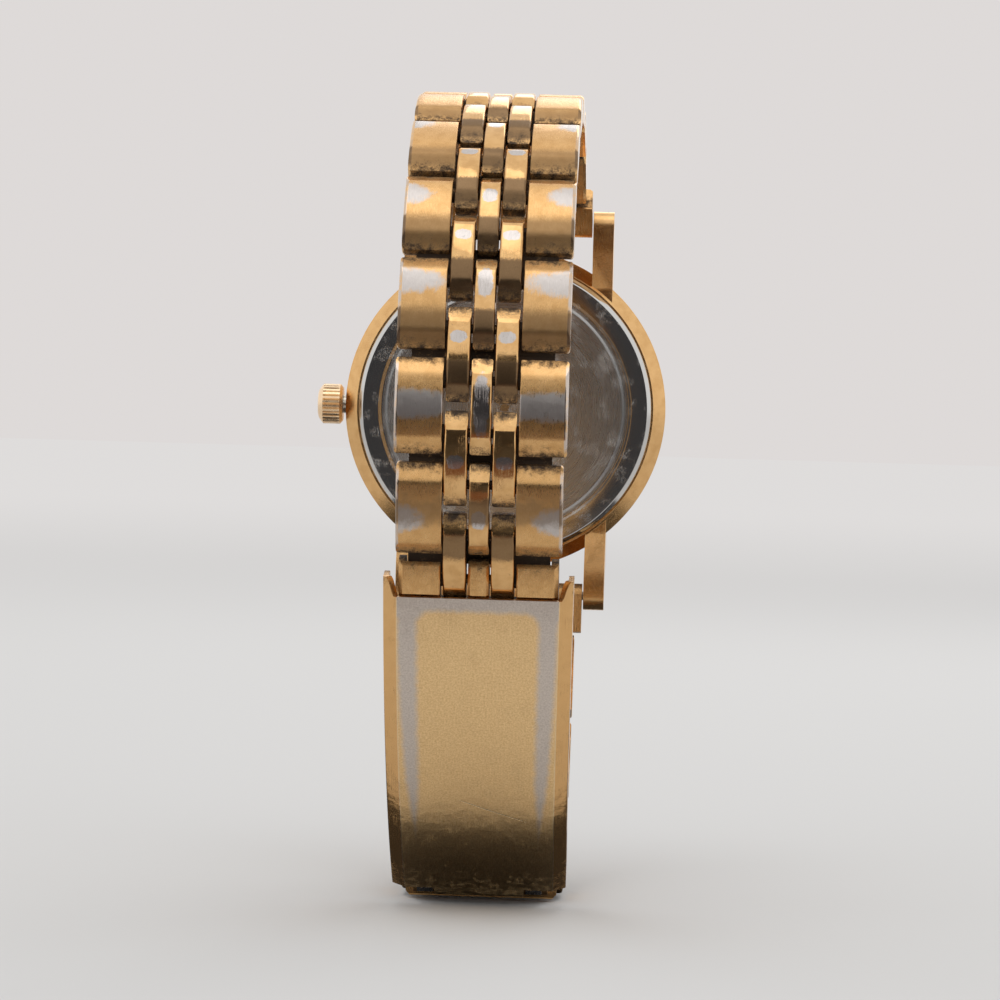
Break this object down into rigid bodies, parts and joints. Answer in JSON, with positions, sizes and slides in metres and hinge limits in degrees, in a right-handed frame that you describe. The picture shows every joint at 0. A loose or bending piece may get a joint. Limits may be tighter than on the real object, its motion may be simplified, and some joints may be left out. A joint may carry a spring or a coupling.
{
  "type": "analog wristwatch",
  "caption": "Gold-tone gentleman's analog wristwatch on a closed five-column metal bracelet with a fold-over clasp.",
  "frame": {"origin": "centre of the caseback's outer face, where the watch rests on the wrist", "axes": "+X to 3 o'clock (crown side), +Y from the dial to the wrist, +Z to 12 o'clock"},
  "size_m": [0.0375, 0.068, 0.0816],
  "materials": {
    "gold_brushed": "gold plate, satin brushed along the band, worn through to silver metal on edges and crests",
    "gold_polished": "polished gold plate",
    "hand_gilt": "polished gilt",
    "steel_back": "satin stainless steel",
    "leaf_steel": "stamped stainless steel",
    "pin_steel": "drawn steel",
    "movement_metal": "nickel-plated brass",
    "crystal": "clear mineral glass",
    "dial": "champagne sunray lacquer",
    "plastic": "moulded nylon",
    "rubber": "moulded nitrile"
  },
  "bodies": {
    "case": {"case_middle": "gold_polished", "bezel": "gold_polished", "crystal": "crystal", "crystal_gasket": "plastic", "dial": "dial", "movement_ring": "plastic", "movement": "movement_metal", "caseback": "steel_back", "caseback_gasket": "rubber", "crown_tube": "movement_metal", "lower_spring_bar": "pin_steel"},
    "stem": {"winding_stem": "movement_metal"},
    "crown": {"crown": "gold_polished"},
    "hour_hand": {"hour_hand": "hand_gilt", "hour_wheel": "movement_metal"},
    "minute_hand": {"minute_hand": "hand_gilt", "cannon_pinion": "movement_metal"},
    "second_hand": {"second_hand": "hand_gilt", "second_arbor": "movement_metal"},
    "lower_end_row": {"lower_end_row": "gold_brushed"},
    "lower_row_1": {"lower_row_1": "gold_brushed"},
    "lower_row_2": {"lower_row_2": "gold_brushed"},
    "lower_row_3": {"lower_row_3": "gold_brushed"},
    "lower_row_4": {"lower_row_4": "gold_brushed"},
    "lower_row_5": {"lower_row_5": "gold_brushed"},
    "lower_row_6": {"lower_row_6": "gold_brushed"},
    "lower_row_7": {"lower_row_7": "gold_brushed"},
    "base_end_piece": {"base_end_piece": "gold_brushed"},
    "base_leaf": {"base_leaf": "leaf_steel", "base_spring_bar": "pin_steel"},
    "middle_leaf": {"middle_leaf": "leaf_steel", "leaf_hinge_pin": "pin_steel"},
    "clasp_cover": {"clasp_cover": "gold_brushed", "cover_spring_bar": "pin_steel", "cover_hinge_pin": "pin_steel"},
    "clasp_end_piece": {"clasp_end_piece": "gold_brushed"},
    "upper_row_18": {"upper_row_18": "gold_brushed"},
    "upper_row_17": {"upper_row_17": "gold_brushed"},
    "upper_row_16": {"upper_row_16": "gold_brushed"},
    "upper_row_15": {"upper_row_15": "gold_brushed"},
    "upper_row_14": {"upper_row_14": "gold_brushed"},
    "upper_row_13": {"upper_row_13": "gold_brushed"},
    "upper_row_12": {"upper_row_12": "gold_brushed"},
    "upper_row_11": {"upper_row_11": "gold_brushed"},
    "upper_row_10": {"upper_row_10": "gold_brushed"},
    "upper_row_9": {"upper_row_9": "gold_brushed"},
    "upper_row_8": {"upper_row_8": "gold_brushed"},
    "upper_row_7": {"upper_row_7": "gold_brushed"},
    "upper_row_6": {"upper_row_6": "gold_brushed"},
    "upper_row_5": {"upper_row_5": "gold_brushed"},
    "upper_row_4": {"upper_row_4": "gold_brushed"},
    "upper_row_3": {"upper_row_3": "gold_brushed"},
    "upper_row_2": {"upper_row_2": "gold_brushed"},
    "upper_row_1": {"upper_row_1": "gold_brushed"},
    "upper_end_row": {"upper_end_row": "gold_brushed", "upper_spring_bar": "pin_steel"}
  },
  "joints": [
    {"name": "crown_pull", "type": "slide", "parent": "case", "child": "stem", "axis": [1, 0, 0], "range_m": [0, 0.001]},
    {"name": "crown_turn", "type": "hinge", "parent": "stem", "child": "crown", "pos_m": [0, -0.003, 0], "axis": [1, 0, 0], "continuous": true},
    {"name": "second_turn", "type": "hinge", "parent": "case", "child": "second_hand", "pos_m": [0, 0, 0], "axis": [0, 1, 0], "continuous": true},
    {"name": "minute_turn", "type": "hinge", "parent": "case", "child": "minute_hand", "pos_m": [0, 0, 0], "axis": [0, 1, 0], "continuous": true},
    {"name": "hour_turn", "type": "hinge", "parent": "case", "child": "hour_hand", "pos_m": [0, 0, 0], "axis": [0, 1, 0], "continuous": true},
    {"name": "lower_lug_hinge", "type": "hinge", "parent": "case", "child": "lower_end_row", "pos_m": [0, -0.0007, -0.0199], "axis": [-1, 0, 0], "range_deg": [0, 35]},
    {"name": "lower_hinge_1", "type": "hinge", "parent": "lower_end_row", "child": "lower_row_1", "pos_m": [0, -0.00006, -0.02617], "axis": [-1, 0, 0], "range_deg": [0, 13.5]},
    {"name": "lower_hinge_2", "type": "hinge", "parent": "lower_row_1", "child": "lower_row_2", "pos_m": [0, 0.00134, -0.03092], "axis": [-1, 0, 0], "range_deg": [0, 13.5]},
    {"name": "lower_hinge_3", "type": "hinge", "parent": "lower_row_2", "child": "lower_row_3", "pos_m": [0, 0.00357, -0.03533], "axis": [-1, 0, 0], "range_deg": [0, 13.5]},
    {"name": "lower_hinge_4", "type": "hinge", "parent": "lower_row_3", "child": "lower_row_4", "pos_m": [0, 0.00658, -0.03927], "axis": [-1, 0, 0], "range_deg": [0, 13.5]},
    {"name": "lower_hinge_5", "type": "hinge", "parent": "lower_row_4", "child": "lower_row_5", "pos_m": [0, 0.01025, -0.04259], "axis": [-1, 0, 0], "range_deg": [0, 13.5]},
    {"name": "lower_hinge_6", "type": "hinge", "parent": "lower_row_5", "child": "lower_row_6", "pos_m": [0, 0.01446, -0.04518], "axis": [-1, 0, 0], "range_deg": [0, 13.5]},
    {"name": "lower_hinge_7", "type": "hinge", "parent": "lower_row_6", "child": "lower_row_7", "pos_m": [0, 0.01908, -0.04697], "axis": [-1, 0, 0], "range_deg": [0, 13.5]},
    {"name": "lower_hinge_8", "type": "hinge", "parent": "lower_row_7", "child": "base_end_piece", "pos_m": [0, 0.02395, -0.04788], "axis": [-1, 0, 0], "range_deg": [0, 13.5]},
    {"name": "base_leaf_hinge", "type": "hinge", "parent": "base_end_piece", "child": "base_leaf", "pos_m": [0, 0.0289, -0.04788], "axis": [-1, 0, 0], "range_deg": [0, 60]},
    {"name": "leaf_hinge", "type": "hinge", "parent": "base_leaf", "child": "middle_leaf", "pos_m": [0, 0.04665, -0.02977], "axis": [1, 0, 0], "range_deg": [0, 170]},
    {"name": "cover_hinge", "type": "hinge", "parent": "middle_leaf", "child": "clasp_cover", "pos_m": [0, 0.03157, -0.0477], "axis": [-1, 0, 0], "range_deg": [0, 170]},
    {"name": "cover_bar_hinge", "type": "hinge", "parent": "clasp_cover", "child": "clasp_end_piece", "pos_m": [0, 0.05111, -0.01991], "axis": [-1, 0, 0], "range_deg": [0, 3]},
    {"name": "upper_hinge_19", "type": "hinge", "parent": "clasp_end_piece", "child": "upper_row_18", "pos_m": [0, 0.05282, -0.01607], "axis": [-1, 0, 0], "range_deg": [0, 3]},
    {"name": "upper_hinge_18", "type": "hinge", "parent": "upper_row_18", "child": "upper_row_17", "pos_m": [0, 0.05511, -0.01168], "axis": [-1, 0, 0], "range_deg": [0, 12.3]},
    {"name": "upper_hinge_17", "type": "hinge", "parent": "upper_row_17", "child": "upper_row_16", "pos_m": [0, 0.05666, -0.00698], "axis": [-1, 0, 0], "range_deg": [0, 12.3]},
    {"name": "upper_hinge_16", "type": "hinge", "parent": "upper_row_16", "child": "upper_row_15", "pos_m": [0, 0.05743, -0.00209], "axis": [-1, 0, 0], "range_deg": [0, 12.3]},
    {"name": "upper_hinge_15", "type": "hinge", "parent": "upper_row_15", "child": "upper_row_14", "pos_m": [0, 0.05739, 0.00286], "axis": [-1, 0, 0], "range_deg": [0, 12.3]},
    {"name": "upper_hinge_14", "type": "hinge", "parent": "upper_row_14", "child": "upper_row_13", "pos_m": [0, 0.05655, 0.00774], "axis": [-1, 0, 0], "range_deg": [0, 12.3]},
    {"name": "upper_hinge_13", "type": "hinge", "parent": "upper_row_13", "child": "upper_row_12", "pos_m": [0, 0.05493, 0.01242], "axis": [-1, 0, 0], "range_deg": [0, 12.3]},
    {"name": "upper_hinge_12", "type": "hinge", "parent": "upper_row_12", "child": "upper_row_11", "pos_m": [0, 0.05257, 0.01677], "axis": [-1, 0, 0], "range_deg": [0, 12.3]},
    {"name": "upper_hinge_11", "type": "hinge", "parent": "upper_row_11", "child": "upper_row_10", "pos_m": [0, 0.04953, 0.02068], "axis": [-1, 0, 0], "range_deg": [0, 12.3]},
    {"name": "upper_hinge_10", "type": "hinge", "parent": "upper_row_10", "child": "upper_row_9", "pos_m": [0, 0.0459, 0.02405], "axis": [-1, 0, 0], "range_deg": [0, 12.3]},
    {"name": "upper_hinge_9", "type": "hinge", "parent": "upper_row_9", "child": "upper_row_8", "pos_m": [0, 0.04178, 0.02678], "axis": [-1, 0, 0], "range_deg": [0, 12.3]},
    {"name": "upper_hinge_8", "type": "hinge", "parent": "upper_row_8", "child": "upper_row_7", "pos_m": [0, 0.03726, 0.02881], "axis": [-1, 0, 0], "range_deg": [0, 12.3]},
    {"name": "upper_hinge_7", "type": "hinge", "parent": "upper_row_7", "child": "upper_row_6", "pos_m": [0, 0.03248, 0.03007], "axis": [-1, 0, 0], "range_deg": [0, 12.3]},
    {"name": "upper_hinge_6", "type": "hinge", "parent": "upper_row_6", "child": "upper_row_5", "pos_m": [0, 0.02755, 0.03055], "axis": [-1, 0, 0], "range_deg": [0, 10]},
    {"name": "upper_hinge_5", "type": "hinge", "parent": "upper_row_5", "child": "upper_row_4", "pos_m": [0, 0.0226, 0.03042], "axis": [-1, 0, 0], "range_deg": [0, 10]},
    {"name": "upper_hinge_4", "type": "hinge", "parent": "upper_row_4", "child": "upper_row_3", "pos_m": [0, 0.01771, 0.02969], "axis": [-1, 0, 0], "range_deg": [0, 10]},
    {"name": "upper_hinge_3", "type": "hinge", "parent": "upper_row_3", "child": "upper_row_2", "pos_m": [0, 0.01294, 0.02837], "axis": [-1, 0, 0], "range_deg": [0, 10]},
    {"name": "upper_hinge_2", "type": "hinge", "parent": "upper_row_2", "child": "upper_row_1", "pos_m": [0, 0.00836, 0.02647], "axis": [-1, 0, 0], "range_deg": [0, 10]},
    {"name": "upper_hinge_1", "type": "hinge", "parent": "upper_row_1", "child": "upper_end_row", "pos_m": [0, 0.00405, 0.02403], "axis": [-1, 0, 0], "range_deg": [0, 14.5]}
  ],
  "couplings": [
    {"joint": "cover_hinge", "follows": "leaf_hinge", "ratio": 1},
    {"joint": "minute_turn", "follows": "second_turn", "ratio": 0.016667},
    {"joint": "hour_turn", "follows": "second_turn", "ratio": 0.0013889}
  ]
}
